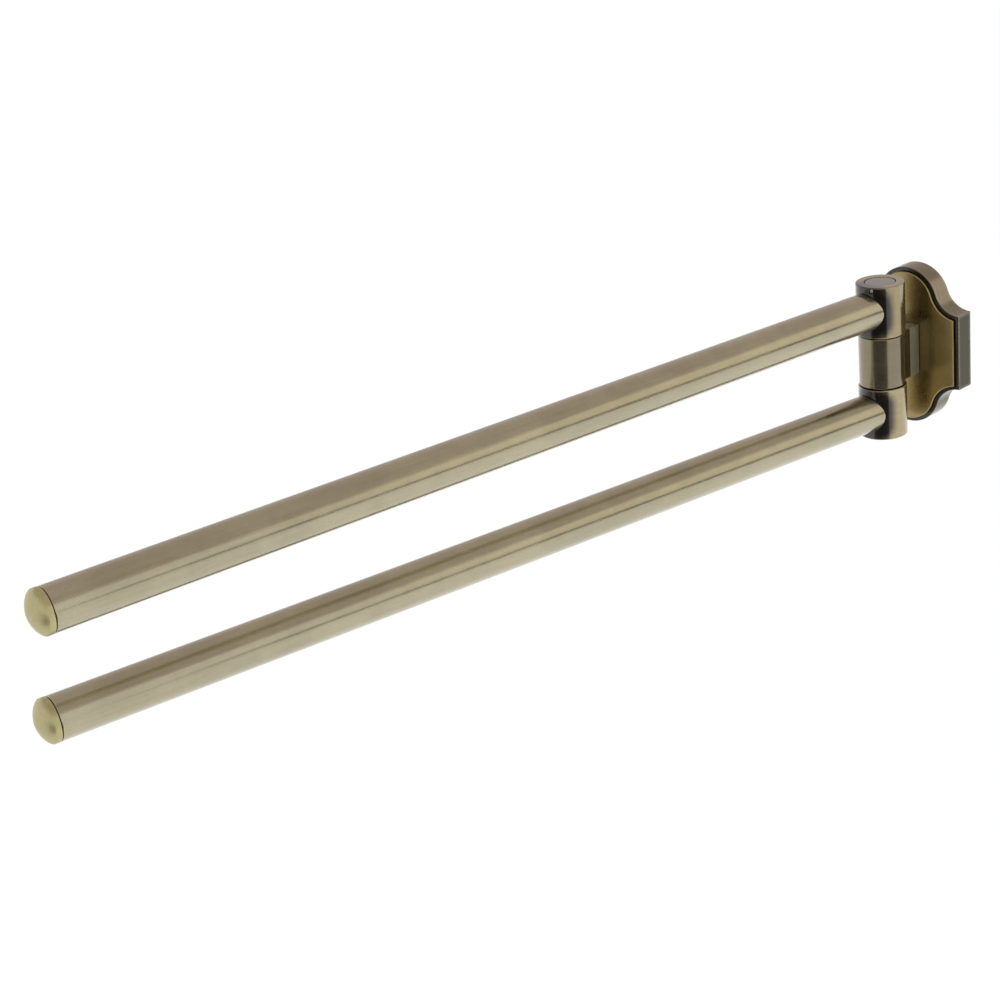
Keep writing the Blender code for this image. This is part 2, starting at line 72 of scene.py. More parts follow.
# Sizes that the frame's boxes don't give
TUBE_WALL = 1.0 * MM
SPIGOT_WALL = 1.5 * MM
PIN_BORE = 3.3 * MM  # radius, also of the stud's hole
PLUG_POCKET = 5.2 * MM  # radius of the room for the pin's head or nut
PLUG_SEAT = 2.2 * MM  # depth below the knuckle's end
PLUG_STEP = 0.4 * MM
PLUG_SHOULDER = 1.2 * MM
PLUG_CROWN = 0.05 * MM  # rise of the plug's face
LOCK_HOLE = 1.0 * MM
LOCK_SOCKET = 0.8 * MM  # depth
TONGUE_WIDTH = 13.4 * MM
TONGUE_HEIGHT = 21.2 * MM
TONGUE_STEP = 0.8 * MM  # shoulder that bears on the cover
SCREW_RADIUS = 2.0 * MM
SCREW_HEAD = 3.5 * MM  # radius
SCREW_HEAD_HEIGHT = 1.8 * MM
SCREW_SOCKET = 1.44 * MM
GRUB_SOCKET = 0.87 * MM
STRIP_THICKNESS = 1.5 * MM
EAR = 6.0 * MM  # half width of the wall bracket's ears
HOOK_LIP = 1.2 * MM
RIB_BACK = 1.8 * MM  # from the wall to the plate's hook rib
WALL_SLOT_LEVEL = 18.5 * MM
WALL_SLOT = 2.25 * MM  # radius of the slot's round ends
WALL_SLOT_SPREAD = 1.75 * MM  # from the slot's middle to the centre of each end
RIB_END = 1.2 * MM  # from the crown to where a rib ends inside the wall
RIB_SINK = 0.4 * MM  # how far the boss runs into the front wall
BRACKET_SCREWS = ("bracket_screw_upper", "bracket_screw_lower")

# Tool marks, as waves per metre across and along the piece's own axis
TURNED = {"across": 300.0, "along": 2600.0}
MACHINED = {"across": 400.0, "along": 2400.0}
STUD_MARKS = {"across": 400.0, "along": 2600.0}
SATIN = {"across": 900.0, "along": 900.0, "bump": 0.03}

# Toning
RUB_WIDTH = 0.6 * MM  # rubbed band beside an edge
PLATE_RUB_WIDTH = 1.5 * MM
PLATE_PAINTED_SHADE = (0.042, 0.041, 0.022)  # painted shade: dark reflections painted on the wall plate's sides and underside
TONGUE_PAINTED_REFLECTION = (0.30, 0.29, 0.23)  # painted reflection: light grey painted on the tongue behind the barrel


# Reading the frame


def middle(node):
    low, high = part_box(node)
    return (low + high) / 2


def size_of(node):
    low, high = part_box(node)
    return high - low


def turned_size(node):
    """The radius of a piece on the hinge axis, and how far its ends are above or below the
    rack's middle, the nearer one first."""
    low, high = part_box(node)
    return (high.x - low.x) / 2, *sorted((abs(low.z), abs(high.z)))


def level_matrix(point):
    """Lays a piece drawn along +Z level, from the hinge axis towards a point and at its height."""
    turn = math.atan2(point.x - HINGE.x, HINGE.y - point.y)
    place = Matrix.Translation((HINGE.x, HINGE.y, point.z)) @ Matrix.Rotation(turn, 4, "Z")
    return place @ Matrix.Rotation(math.pi / 2, 4, "X")


def arm_matrix(arm):
    """Lays a piece along the arm. The end cap is round about the arm's axis, so the mean of its
    points is on that axis."""
    points = [vertex.co for vertex in NODES[f"{arm}_end_cap"].data.vertices]
    return level_matrix(sum(points, Vector()) / len(points))


def lock_matrix():
    """The lock screw's axis, out through the upper knuckle's side."""
    return level_matrix(middle("plug_lock_screw"))


def span(matrix, node):
    """Where the node starts and ends along the matrix's own Z."""
    back = matrix.inverted()
    places = [(back @ vertex.co).z for vertex in NODES[node].data.vertices]
    return min(places), max(places)


def standing_matrix(side=1):
    """Puts a piece drawn about the Z axis on the hinge axis, turned over for the lower arm."""
    place = Matrix.Translation((HINGE.x, HINGE.y, 0))
    return place if side > 0 else place @ Matrix.Rotation(math.pi, 4, "Y")


# Sizes and colours that a user would change


def length(name, description, default, low, high):
    return bpy.props.FloatProperty(
        name=name,
        description=description,
        default=default * MM,
        min=low * MM,
        max=high * MM,
        unit="LENGTH",
    )


class RackSizes(bpy.types.PropertyGroup):
    edge_round: length("Edge rounding", "Edges of knuckles, barrel and wall plate", 0.5, 0.1, 1.0)
    fine_round: length("Fine rounding", "Edges of plugs, screws and steel strips", 0.2, 0.05, 0.4)
    crown_radius: length("Crown radius", "Round top and bottom of the wall plate", 14.8, 10, 20)
    shell_wall: length("Plate wall", "Thickness of the hollow wall plate", 1.6, 1.0, 2.5)
    collar: length("Cap collar", "Straight part of an end cap before its dome", 2.0, 0.5, 5)
    dome_fullness: bpy.props.FloatProperty(
        name="Dome fullness",
        description="Exponent of the end caps' outline, where 1 is a plain ellipse",
        default=1.28,
        min=0.8,
        max=1.6,
    )


def colour(name, description, default):
    return bpy.props.FloatVectorProperty(
        name=name, description=description, default=default, size=3, min=0, max=1, subtype="COLOR"
    )


class RackFinish(bpy.types.PropertyGroup):
    tube_brass: colour("Tube brass", "Brushed and toned tubes", (0.39, 0.352, 0.228))
    knuckle_brass: colour("Knuckle brass", "Hinge knuckles", (0.37, 0.30, 0.165))
    plug_brass: colour("Plug brass", "Greyer plugs in the knuckles' ends", (0.19, 0.175, 0.155))
    barrel_brass: colour("Barrel brass", "Browner middle barrel and tongue", (0.215, 0.18, 0.11))
    plate_brass: colour("Plate brass", "Dark toned wall plate", (0.25, 0.212, 0.14))
    cover_brass: colour("Cover brass", "Olive brown raised cover", (0.35, 0.275, 0.115))
    cap_brass: colour("Cap brass", "Yellower end caps", (0.50, 0.45, 0.235))
    # Also used for a painted dark reflection on the wall plate's front ledge, and beside the tubes
    # together with real patina.
    patina_and_painted_shade: colour("Patina", "Blue-black that stays in corners", (0.011, 0.014, 0.021))
    steel: colour("Steel", "Zinc plated and stainless pieces", (0.56, 0.55, 0.52))
    nylon: colour("Nylon", "Bushes and thrust washers", (0.03, 0.028, 0.027))
    roughness: bpy.props.FloatProperty(
        name="Brushed roughness",
        description="Roughness of the brushed brass",
        default=0.24,
        min=0.05,
        max=0.8,
        subtype="FACTOR",
    )


def sizes():
    return bpy.context.scene.rack_sizes


def finish():
    return bpy.context.scene.rack_finish


# Modelling steps


def deselect():
    if bpy.context.object and bpy.context.object.mode != "OBJECT":
        bpy.ops.object.mode_set(mode="OBJECT")
    bpy.ops.object.select_all(action="DESELECT")


def make_active(thing):
    deselect()
    thing.select_set(True)
    bpy.context.view_layer.objects.active = thing


def edit(thing):
    make_active(thing)
    bpy.ops.object.mode_set(mode="EDIT")
    bpy.ops.mesh.select_mode(type="EDGE")


def leave_edit():
    bpy.ops.object.mode_set(mode="OBJECT")


def select_all(action="SELECT"):
    bpy.ops.mesh.select_all(action=action)


def extrude(*move):
    bpy.ops.mesh.extrude_region_move(TRANSFORM_OT_translate={"value": move})


def begin(name):
    """Names the object that was just added and edits it, with everything selected."""
    thing = bpy.context.object
    thing.name = name
    edit(thing)
    select_all()
    return thing


def pick_edges(thing, test):
    """Selects the edges whose two ends both pass a test of their place."""
    select_all("DESELECT")
    mesh = bmesh.from_edit_mesh(thing.data)
    for edge in mesh.edges:
        edge.select_set(all(test(vertex.co) for vertex in edge.verts))
    bmesh.update_edit_mesh(thing.data)


def pick_faces(thing, test):
    """Selects the faces that pass a test of their middle and normal."""
    bpy.ops.mesh.select_mode(type="FACE")
    select_all("DESELECT")
    mesh = bmesh.from_edit_mesh(thing.data)
    for face in mesh.faces:
        face.select_set(test(face.calc_center_median(), face.normal))
    bmesh.update_edit_mesh(thing.data)


def near(a, b, slack=0.01 * MM):
    return abs(a - b) < slack


def on_ring(radius, height):
    return lambda co: near(math.hypot(co.x, co.y), radius) and near(co.z, height)


def lathe(name, stations, closed=False, sides=ROUND):
    """A turned piece about Z: a ring that is extruded and scaled from station to station. The
    stations hold (radius, height), and a closed piece joins its last one to its first."""
    deselect()
    radius, height = stations[0]
    bpy.ops.mesh.primitive_circle_add(vertices=sides, radius=radius)
    thing = begin(name)
    bpy.ops.transform.translate(value=(0, 0, height))
    route = stations[1:] + (stations[:1] if closed else [])
    for next_radius, next_height in route:
        extrude(0, 0, next_height - height)
        scale = next_radius / radius
        bpy.ops.transform.resize(value=(scale, scale, 1), center_override=(0, 0, next_height))
        radius, height = next_radius, next_height
    if not closed:
        bpy.ops.mesh.edge_face_add()
        pick_edges(thing, on_ring(*stations[0]))
        bpy.ops.mesh.edge_face_add()
    clean_mesh()
    leave_edit()
    return thing


def clean_mesh():
    select_all()
    bpy.ops.mesh.remove_doubles(threshold=WELD)
    bpy.ops.mesh.normals_make_consistent(inside=False)


def round_rings(thing, rings, width, segments=4):
    """Rounds the turned edges at the given (radius, height) places."""
    edit(thing)
    for radius, height in rings:
        bpy.ops.mesh.select_mode(type="EDGE")
        pick_edges(thing, on_ring(radius, height))
        bpy.ops.mesh.bevel(offset=width, segments=segments, affect="EDGES")
    leave_edit()


def cube(name, low, high):
    """A rectangular piece between two corners, from a cube that is scaled and moved."""
    low, high = Vector(low), Vector(high)
    deselect()
    bpy.ops.mesh.primitive_cube_add(size=1)
    thing = begin(name)
    bpy.ops.transform.resize(value=tuple(high - low), center_override=(0, 0, 0))
    bpy.ops.transform.translate(value=tuple((low + high) / 2))
    leave_edit()
    return thing


def rod(name, radius, start, end, sides=SMALL_ROUND):
    return lathe(name, [(radius, end), (radius, start)], sides=sides)


def put(thing, matrix):
    """Moves the finished shape to its place and leaves the object at the origin."""
    thing.data.transform(matrix)
    thing.data.update()
    return thing


def apply(thing, modifier):
    make_active(thing)
    bpy.ops.object.modifier_apply(modifier=modifier.name)


def combine(thing, other, operation):
    """Cuts the other piece out of this one or joins it on, and removes it."""
    boolean = thing.modifiers.new("combine", "BOOLEAN")
    boolean.operation = operation
    boolean.solver = "EXACT"
    boolean.object = other
    apply(thing, boolean)
    bpy.data.objects.remove(other, do_unlink=True)


def cut(thing, other):
    combine(thing, other, "DIFFERENCE")


def join(thing, other):
    combine(thing, other, "UNION")


def soften(thing, width, angle=40, segments=3):
    """Rounds every edge that is sharper than the angle."""
    bevel = thing.modifiers.new("soften", "BEVEL")
    bevel.width = width
    bevel.segments = segments
    bevel.limit_method = "ANGLE"
    bevel.angle_limit = math.radians(angle)
    bevel.use_clamp_overlap = True
    bevel.harden_normals = False
    apply(thing, bevel)


def complete(thing, body, slot, material, *nodes):
    """Smooths a piece, gives it its finish and hangs it on its body in place of its nodes."""
    edit(thing)
    clean_mesh()
    leave_edit()
    bpy.ops.object.shade_smooth_by_angle(angle=math.radians(32))
    weighted = thing.modifiers.new("weighted", "WEIGHTED_NORMAL")
    weighted.keep_sharp = True
    apply(thing, weighted)
    thing.data.materials.clear()
    thing.data.materials.append(material)
    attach(thing, body)
    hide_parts(*nodes)
    return thing


# Shader groups


def group(name, inputs, outputs):
    """An empty shader group that puts out masks. An input without a default is a vector."""
    tree = bpy.data.node_groups.new(name, "ShaderNodeTree")
    for label, value in inputs.items():
        kind = "NodeSocketVector" if value is None else "NodeSocketFloat"
        socket = tree.interface.new_socket(label, in_out="INPUT", socket_type=kind)
        if value is not None:
            socket.default_value = value
    for label in outputs:
        tree.interface.new_socket(label, in_out="OUTPUT", socket_type="NodeSocketFloat")
    return tree, tree.nodes.new("NodeGroupInput"), tree.nodes.new("NodeGroupOutput")


def add(tree, kind, links=(), **values):
    """A node with its settings and plain socket values set, and its links made."""
    node = tree.nodes.new(kind)
    for key, value in values.items():
        setattr(node, key, value)
    for socket, source in dict(links).items():
        if isinstance(source, bpy.types.NodeSocket):
            tree.links.new(source, node.inputs[socket])
        else:
            node.inputs[socket].default_value = source
    return node


def remap(tree, value, low, high, to_low=0.0, to_high=1.0):
    node = add(
        tree,
        "ShaderNodeMapRange",
        {"Value": value, "From Min": low, "From Max": high, "To Min": to_low, "To Max": to_high},
        interpolation_type="SMOOTHSTEP",
    )
    return node.outputs["Result"]


def math_node(tree, operation, first, second=0.0):
    return add(tree, "ShaderNodeMath", {0: first, 1: second}, operation=operation).outputs[0]


def blend(tree, factor, first, second):
    node = add(
        tree, "ShaderNodeMix", {0: factor, 6: first, 7: second}, data_type="RGBA", blend_type="MIX"
    )
    return node.outputs[2]


def rgba(value):
    return (*value, 1.0)


def overlay(tree, tone, mask, strength, over):
    """Lays a colour over the tone where the mask is."""
    return blend(tree, math_node(tree, "MULTIPLY", mask, strength), tone, rgba(over))


def mixture(tree, *shares, start=0.0):
    """The sum of masks, each with its share, on top of a start."""
    total = start
    for mask, share in shares:
        links = {0: mask, 1: share, 2: total}
        total = add(tree, "ShaderNodeMath", links, operation="MULTIPLY_ADD").outputs[0]
    return total


def finish_surface(tree, shader, tone, rough, height, strength, depth=0.05 * MM):
    """Links a colour, a roughness and a fine relief of the given depth to the shader."""
    bump = add(tree, "ShaderNodeBump", {"Strength": strength, "Distance": depth, "Height": height})
    tree.links.new(tone, shader.inputs["Base Color"])
    tree.links.new(rough, shader.inputs["Roughness"])
    tree.links.new(bump.outputs[0], shader.inputs["Normal"])


def noise(tree, vector, scale, detail=2.0, roughness=0.5):
    links = {"Vector": vector, "Scale": scale, "Detail": detail, "Roughness": roughness}
    return add(tree, "ShaderNodeTexNoise", links).outputs["Fac"]


def brushing_group():
    """Fine streaks along Z, from long thin noise, with a wider band of uneven pressure."""
    inputs = {"Vector": None, "Across": 2600.0, "Along": 60.0}
    tree, inside, outside = group("Brushing", inputs, ("Streaks", "Bands"))
    vector, across, along = (inside.outputs[label] for label in inputs)
    stretch = add(tree, "ShaderNodeCombineXYZ", {"X": across, "Y": across, "Z": along})
    links = {0: vector, 1: stretch.outputs[0]}
    scaled = add(tree, "ShaderNodeVectorMath", links, operation="MULTIPLY")
    fine = noise(tree, scaled.outputs[0], 1.0, 3.0, 0.6)
    wide = noise(tree, scaled.outputs[0], 0.22, 2.0)
    tree.links.new(remap(tree, fine, 0.3, 0.7), outside.inputs["Streaks"])
    tree.links.new(remap(tree, wide, 0.3, 0.7), outside.inputs["Bands"])
    return tree


def toning_group():
    """Cloudy toning of aged brass, with specks where the lacquer holds dust."""
    inputs = {"Vector": None, "Size": 45.0}
    tree, inside, outside = group("Toning", inputs, ("Clouds", "Specks"))
    vector, size = (inside.outputs[label] for label in inputs)
    clouds = noise(tree, vector, size, 4.0, 0.6)
    specks = noise(tree, vector, math_node(tree, "MULTIPLY", size, 40.0), 1.0)
    tree.links.new(remap(tree, clouds, 0.32, 0.68), outside.inputs["Clouds"])
    tree.links.new(remap(tree, specks, 0.62, 0.78), outside.inputs["Specks"])
    return tree


def wear_group():
    """Where convex edges are rubbed bright and hollow corners stay dark. Short rays inside the
    piece find its outer edges, and short rays outside it find its corners."""
    inputs = {"Breakup": 0.5, "Width": RUB_WIDTH}
    tree, inside, outside = group("Edge wear", inputs, ("Rubbed", "Hollow"))
    breakup, width = (inside.outputs[label] for label in inputs)
    near_edge = {"samples": 2, "only_local": True}
    edge = add(tree, "ShaderNodeAmbientOcclusion", {"Distance": width}, inside=True, **near_edge)
    corner = add(tree, "ShaderNodeAmbientOcclusion", {"Distance": width}, **near_edge)
    rubbed = remap(tree, edge.outputs["AO"], 0.8, 0.4)
    broken = remap(tree, breakup, 0, 1, 0.6, 1)
    tree.links.new(math_node(tree, "MULTIPLY", rubbed, broken), outside.inputs["Rubbed"])
    tree.links.new(remap(tree, corner.outputs["AO"], 0.8, 0.4), outside.inputs["Hollow"])
    return tree


def saddle_group():
    """Patina left beside the tube where it meets its knuckle, as far as a brush can't reach, which
    also stands in for a painted dark reflection of the tube there. The vector has the tube along Z."""
    inputs = {"Vector": None, "Breakup": 0.5, "Reach": 6.0 * MM, "Radius": 8.0 * MM}
    tree, inside, outside = group("Saddle patina", inputs, ("Patina",))
    vector, breakup, reach, radius = (inside.outputs[label] for label in inputs)
    x, y, z = add(tree, "ShaderNodeSeparateXYZ", {0: vector}).outputs
    flat = add(tree, "ShaderNodeCombineXYZ", {"X": x, "Y": y, "Z": 0.0})
    length = add(tree, "ShaderNodeVectorMath", {0: flat.outputs[0]}, operation="LENGTH")
    ragged = math_node(tree, "SUBTRACT", breakup, 0.5)
    ragged = math_node(tree, "MULTIPLY", ragged, math_node(tree, "MULTIPLY", reach, 0.5))
    off = math_node(tree, "SUBTRACT", length.outputs["Value"], radius)
    off = math_node(tree, "ADD", off, ragged)
    near_tube = remap(tree, math_node(tree, "DIVIDE", off, reach), 1.0, 0.25)
    facing = remap(tree, z, 1 * MM, 5 * MM)
    tree.links.new(math_node(tree, "MULTIPLY", near_tube, facing), outside.inputs["Patina"])
    return tree


MAKERS = {
    "Brushing": brushing_group,
    "Toning": toning_group,
    "Edge wear": wear_group,
    "Saddle patina": saddle_group,
}


def place_group(tree, name, **links):
    """Adds a shader group, which is made the first time that a material asks for it."""
    made = bpy.data.node_groups.get(name) or MAKERS[name]()
    return add(tree, "ShaderNodeGroup", links, node_tree=made)


def new_material(name, roughness, metallic, coat=0.0, coat_roughness=0.08):
    material = bpy.data.materials.new(name)
    material.use_nodes = True
    shader = material.node_tree.nodes["Principled BSDF"]
    shader.inputs["Roughness"].default_value = roughness
    shader.inputs["Metallic"].default_value = metallic
    shader.inputs["Coat Weight"].default_value = coat
    shader.inputs["Coat Roughness"].default_value = coat_roughness
    return material, material.node_tree, shader


def piece_vector(tree, matrix=None):
    """Object coordinates, turned so that the piece's own axis is Z."""
    coordinates = add(tree, "ShaderNodeTexCoord").outputs["Object"]
    if matrix is None:
        return coordinates
    back = matrix.inverted()
    mapping = add(
        tree,
        "ShaderNodeMapping",
        {
            "Vector": coordinates,
            "Location": tuple(back.to_translation()),
            "Rotation": tuple(back.to_euler()),
        },
    )
    return mapping.outputs["Vector"]


def split(tree):
    """The sockets of the piece's X, Y and Z."""
    return add(tree, "ShaderNodeSeparateXYZ", {0: piece_vector(tree)}).outputs


def brass(name, matrix, base, rougher=0.0, across=2600.0, along=60.0, bump=0.06, coat=1.0,
          wear=0.6, arm=None, plate=None, painted_reflection_depth=None):
    """Toned, brushed and lacquered brass. The matrix has the brushing along its Z. Rougher adds
    to the rack's own roughness. An arm's matrix adds the patina round that arm's tube, which
    also stands in for a painted dark reflection of the tube. The wall plate gives its half width
    and the depth of its front ledge, for the painted shade on its sides and underside and the
    painted dark reflection on its ledge. The depth for the tongue is where the metal behind it is
    made duller and painted light grey as a painted reflection."""
    roughness = finish().roughness + rougher
    light = [min(channel * 1.12, 1) for channel in base]
    dark = [channel * 0.84 for channel in base]
    worn = [min(channel * 1.5 + 0.06, 1) for channel in base]
    patina_and_painted_shade = finish().patina_and_painted_shade
    material, tree, shader = new_material(name, roughness, 1.0, coat)
    vector = piece_vector(tree, matrix)
    brushing = place_group(tree, "Brushing", Vector=vector, Across=across, Along=along)
    streaks, bands = brushing.outputs
    clouds, specks = place_group(tree, "Toning", Vector=vector).outputs
    width = RUB_WIDTH if plate is None else PLATE_RUB_WIDTH
    rubbed, hollow = place_group(tree, "Edge wear", Breakup=clouds, Width=width).outputs
    mixed = mixture(tree, (streaks, 0.30), (bands, 0.25), (clouds, 0.45))
    tone = blend(tree, mixed, rgba(dark), rgba(light))
    tone = overlay(tree, tone, specks, 0.25, dark)
    if plate is not None:
        half_width, front = plate
        x, y, z = split(tree)
        out = math_node(tree, "ABSOLUTE", x)
        side = remap(tree, out, half_width - 0.5 * MM, half_width - 0.1 * MM)
        under = remap(tree, z, -14 * MM, -20 * MM)
        # Painted shade: the plate's sides and lower part are darkened, standing in for dark
        # reflections.
        tone = overlay(tree, tone, under, 0.65, PLATE_PAINTED_SHADE)
        tone = overlay(tree, tone, side, 0.93, PLATE_PAINTED_SHADE)
    tone = overlay(tree, tone, rubbed, wear, worn)
    tone = overlay(tree, tone, hollow, 0.7, patina_and_painted_shade)
    # Patina beside the tube, also standing in for a painted dark reflection of the tube on the
    # knuckle.
    if arm is not None:
        saddle = place_group(tree, "Saddle patina", Vector=piece_vector(tree, arm), Breakup=clouds)
        tone = overlay(tree, tone, saddle.outputs[0], 0.92, patina_and_painted_shade)
    # Painted dark reflection: the plate's front ledge is painted near black in the patina colour.
    if plate is not None:
        ledge = remap(tree, y, front + 0.25 * MM, front + 0.05 * MM)
        tone = overlay(tree, tone, ledge, 0.85, patina_and_painted_shade)
    rough = mixture(tree, (mixed, 0.10), start=roughness - 0.05)
    # Painted reflection: the tongue behind the barrel is painted light grey and made less metallic.
    if painted_reflection_depth is not None:
        dull = remap(tree, split(tree)["Y"], painted_reflection_depth + 0.6 * MM, painted_reflection_depth + 1.6 * MM)
        tone = blend(tree, dull, tone, rgba(TONGUE_PAINTED_REFLECTION))
        rough = mixture(tree, (dull, 0.2), start=rough)
        tree.links.new(remap(tree, dull, 0, 1, 1.0, 0.55), shader.inputs["Metallic"])
    finish_surface(tree, shader, tone, rough, streaks, bump)
    return material


def steel(name, matrix=None, roughness=0.34, across=1500.0, along=90.0):
    """Machined or zinc plated steel, with its tool marks round or along the piece."""
    material, tree, shader = new_material(name, roughness, 1.0)
    vector = piece_vector(tree, matrix)
    brushing = place_group(tree, "Brushing", Vector=vector, Across=across, Along=along)
    streaks = brushing.outputs["Streaks"]
    clouds = place_group(tree, "Toning", Vector=vector, Size=120.0).outputs["Clouds"]
    bright = finish().steel
    dull = [channel * 0.72 for channel in bright]
    mixed = mixture(tree, (streaks, 0.4), (clouds, 0.6))
    tone = blend(tree, mixed, rgba(dull), rgba(bright))
    rough = mixture(tree, (mixed, 0.14), start=roughness - 0.06)
    finish_surface(tree, shader, tone, rough, streaks, 0.15)
    return material


def nylon(name):
    """Moulded nylon with a faint pebble."""
    material, tree, shader = new_material(name, 0.5, 0.0)
    vector = piece_vector(tree)
    clouds = place_group(tree, "Toning", Vector=vector, Size=150.0).outputs["Clouds"]
    pebble = noise(tree, vector, 3500.0, 2.0)
    base = finish().nylon
    pale = [channel * 1.8 for channel in base]
    tone = blend(tree, clouds, rgba(base), rgba(pale))
    rough = remap(tree, pebble, 0.3, 0.7, 0.42, 0.58)
    finish_surface(tree, shader, tone, rough, pebble, 0.2, 0.04 * MM)
    return material


# Pieces of the arms


class RACK_OT_tubes(bpy.types.Operator):
    """Make both arm tubes, coped to their knuckles"""

    bl_idname = "rack.tubes"
    bl_label = "Tubes"

    def execute(self, context):
        reach = size_of("upper_knuckle").x / 2 + GAP
        for arm in ARMS:
            node = f"{arm}_tube"
            matrix = arm_matrix(arm)
            outer = size_of(node).z / 2
            inner = outer - TUBE_WALL
            end = span(matrix, node)[1]
            stations = [(outer, end), (outer, 0), (inner, 0), (inner, end)]
            tube = lathe(f"{node}_finished", stations, True)
            edit(tube)
            mesh = bmesh.from_edit_mesh(tube.data)
            for vertex in mesh.verts:
                if near(vertex.co.z, 0):
                    vertex.co.z = math.sqrt(reach**2 - vertex.co.x**2)
            bmesh.update_edit_mesh(tube.data)
            pick_edges(
                tube,
                lambda co: near(math.hypot(co.x, co.y), outer)
                and (near(co.z, end) or near(co.z, math.sqrt(max(reach**2 - co.x**2, 0)))),
            )
            bpy.ops.mesh.bevel(offset=0.25 * MM, segments=3, affect="EDGES")
            leave_edit()
            put(tube, matrix)
            look = brass(f"{arm} tube brass", matrix, finish().tube_brass)
            complete(tube, f"{arm}_arm", "tube_brass", look, node)
        return {"FINISHED"}


class RACK_OT_end_caps(bpy.types.Operator):
    """Make the domed end caps with their spigots"""

    bl_idname = "rack.end_caps"
    bl_label = "End caps"

    def execute(self, context):
        steps = 24
        for arm in ARMS:
            node = f"{arm}_end_cap"
            matrix = arm_matrix(arm)
            start, tip = span(matrix, node)
            radius = size_of(f"{arm}_tube").z / 2
            seam = span(matrix, f"{arm}_tube")[1] + GAP
            foot = seam + sizes().collar
            height = tip - foot
            dome = []
            for i in range(1, steps + 1):
                angle = math.pi / 2 * i / steps
                out = radius * math.sin(angle) ** sizes().dome_fullness
                up = height * max(math.cos(angle), 0) ** sizes().dome_fullness
                dome.append((out, foot + up))
            spigot = radius - TUBE_WALL - GAP
            stations = dome + [
                (radius, seam), (spigot, seam), (spigot, start),
                (spigot - SPIGOT_WALL, start), (spigot - SPIGOT_WALL, seam),
            ]
            cap = lathe(f"{node}_finished", stations)
            round_rings(cap, [(radius, seam)], 0.25 * MM, 3)
            round_rings(cap, [(spigot, start)], sizes().fine_round, 2)
            put(cap, matrix)
            look = brass(f"{arm} cap brass", matrix, finish().cap_brass, 0.22, coat=0.3, **SATIN)
            complete(cap, f"{arm}_arm", "cap_brass", look, node)
        return {"FINISHED"}


class RACK_OT_knuckles(bpy.types.Operator):
    """Make the two hinge knuckles with their bores, pockets and stud holes"""

    bl_idname = "rack.knuckles"
    bl_label = "Knuckles"

    def execute(self, context):
        for arm, side, tone in (("upper", 1, 0.95), ("lower", -1, 1.12)):
            node = f"{arm}_knuckle"
            outer, foot, end = turned_size(node)
            bush_radius, _, bush_end = turned_size(f"{arm}_bush")
            bore, floor = bush_radius + GAP, bush_end + GAP
            seat_radius = turned_size(f"{arm}_pin_plug")[0] + GAP
            seat = end - PLUG_SEAT
            stations = [
                (outer, end), (outer, foot), (bore, foot), (bore, floor),
                (PLUG_POCKET, floor), (PLUG_POCKET, seat), (seat_radius, seat), (seat_radius, end),
            ]
            knuckle = lathe(f"{node}_finished", stations, True)
            round_rings(knuckle, [(outer, end), (outer, foot)], sizes().edge_round)
            round_rings(knuckle, [(seat_radius, end), (bore, foot)], sizes().fine_round, 2)
            put(knuckle, standing_matrix(side))
            hole = rod("stud hole", PIN_BORE, bore - GAP, outer + 3 * MM)
            cut(knuckle, put(hole, arm_matrix(arm)))
            if side > 0:
                hole = rod("lock hole", LOCK_HOLE, seat_radius, outer + GAP)
                cut(knuckle, put(hole, lock_matrix()))
            # The lower knuckle's brass is made lighter than the upper's.
            base = [channel * tone for channel in finish().knuckle_brass]
            look = brass(
                f"{arm} knuckle brass", standing_matrix(), base, -0.02,
                bump=0.04, arm=arm_matrix(arm), **TURNED,
            )
            complete(knuckle, f"{arm}_arm", "hinge_brass", look, node)
        return {"FINISHED"}


class RACK_OT_plugs(bpy.types.Operator):
    """Make the plugs that cover the pin's ends, and the lock screw beside the upper one"""

    bl_idname = "rack.plugs"
    bl_label = "Pin plugs"

    def execute(self, context):
        for arm, side in (("upper", 1), ("lower", -1)):
            node = f"{arm}_pin_plug"
            radius, bottom, top = turned_size(node)
            stations = [
                (radius * 0.5, top),
                (radius, top - PLUG_CROWN),
                (radius, bottom + PLUG_STEP),
                (radius - PLUG_SHOULDER, bottom + PLUG_STEP),
                (radius - PLUG_SHOULDER, bottom),
            ]
            plug = lathe(f"{node}_finished", stations, sides=96)
            round_rings(plug, [(radius, top - PLUG_CROWN)], sizes().fine_round, 3)
            put(plug, standing_matrix(side))
            look = brass(
                f"{arm} plug brass", standing_matrix(), finish().plug_brass, -0.04, **SATIN
            )
            complete(plug, f"{arm}_arm", "hinge_brass", look, node)
        start, end = span(lock_matrix(), "plug_lock_screw")
        radius = size_of("plug_lock_screw").z / 2
        screw = rod("plug_lock_screw_finished", radius, start, end, 32)
        cut(screw, rod("socket", radius * 0.55, end - LOCK_SOCKET, end + MM, 6))
        soften(screw, 0.1 * MM, segments=2)
        put(screw, lock_matrix())
        look = steel("lock screw steel", lock_matrix())
        complete(screw, "upper_arm", "fastener_steel", look, "plug_lock_screw")
        return {"FINISHED"}


# Pieces of the base


